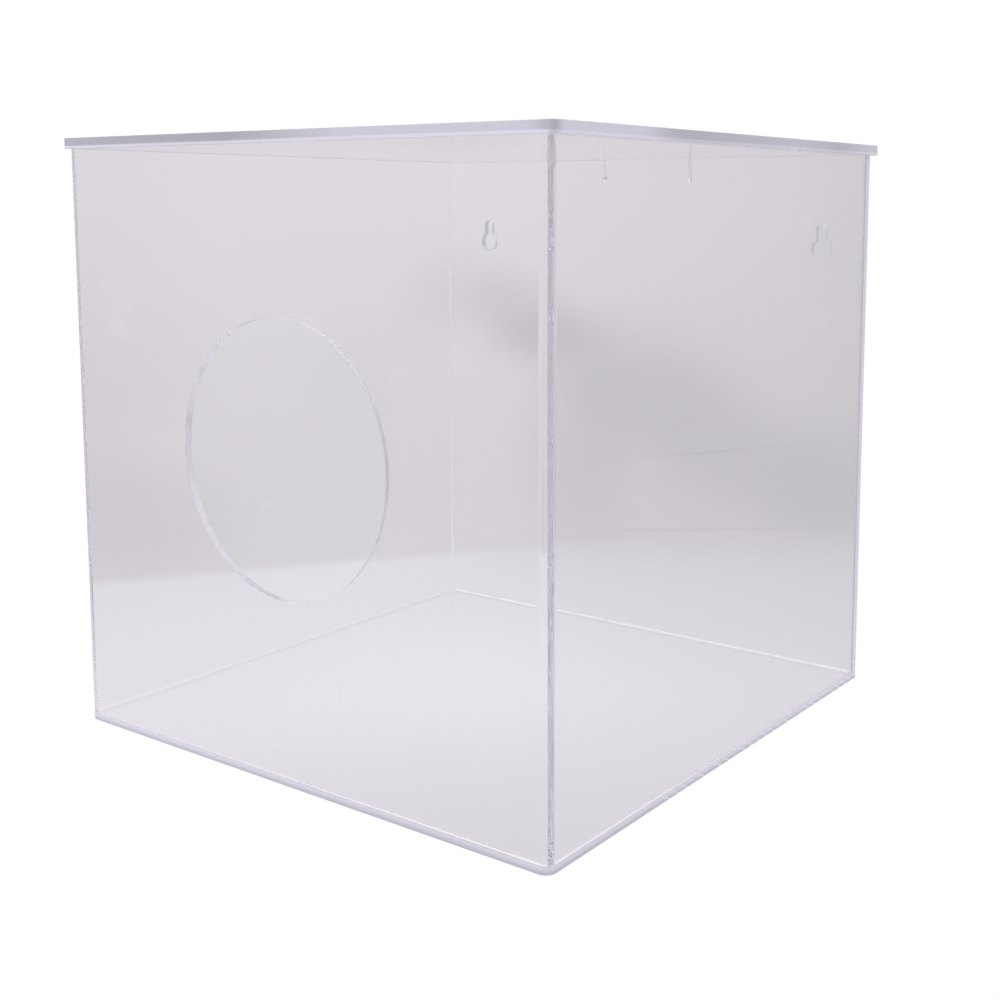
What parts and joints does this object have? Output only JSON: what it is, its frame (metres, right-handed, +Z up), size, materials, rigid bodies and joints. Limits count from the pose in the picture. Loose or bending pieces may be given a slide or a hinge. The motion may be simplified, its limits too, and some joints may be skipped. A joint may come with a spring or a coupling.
{
  "type": "wall-mount dispenser box",
  "caption": "Clear acrylic box with a round front opening, keyholes in the back to hang it, and a flat lift-off lid.",
  "frame": {"origin": "middle of the underside of the floor panel", "axes": "+Z up, -Y towards the front wall with the round opening, +Y towards the wall it hangs on, +X to the right seen from the front"},
  "size_m": [0.26, 0.2534, 0.2547],
  "materials": {
    "wall_sheet": "polished",
    "back_sheet": "polished",
    "floor_sheet": "polished",
    "lid_sheet": "polished"
  },
  "bodies": {
    "box": {"wall_wrap": "wall_sheet", "back_panel": "back_sheet", "floor_panel": "floor_sheet"},
    "lid": {"lid": "lid_sheet"}
  },
  "joints": [
    {"name": "lid_lift", "type": "slide", "parent": "box", "child": "lid", "axis": [0, 0, 1], "range_m": [0, 0.06]}
  ]
}
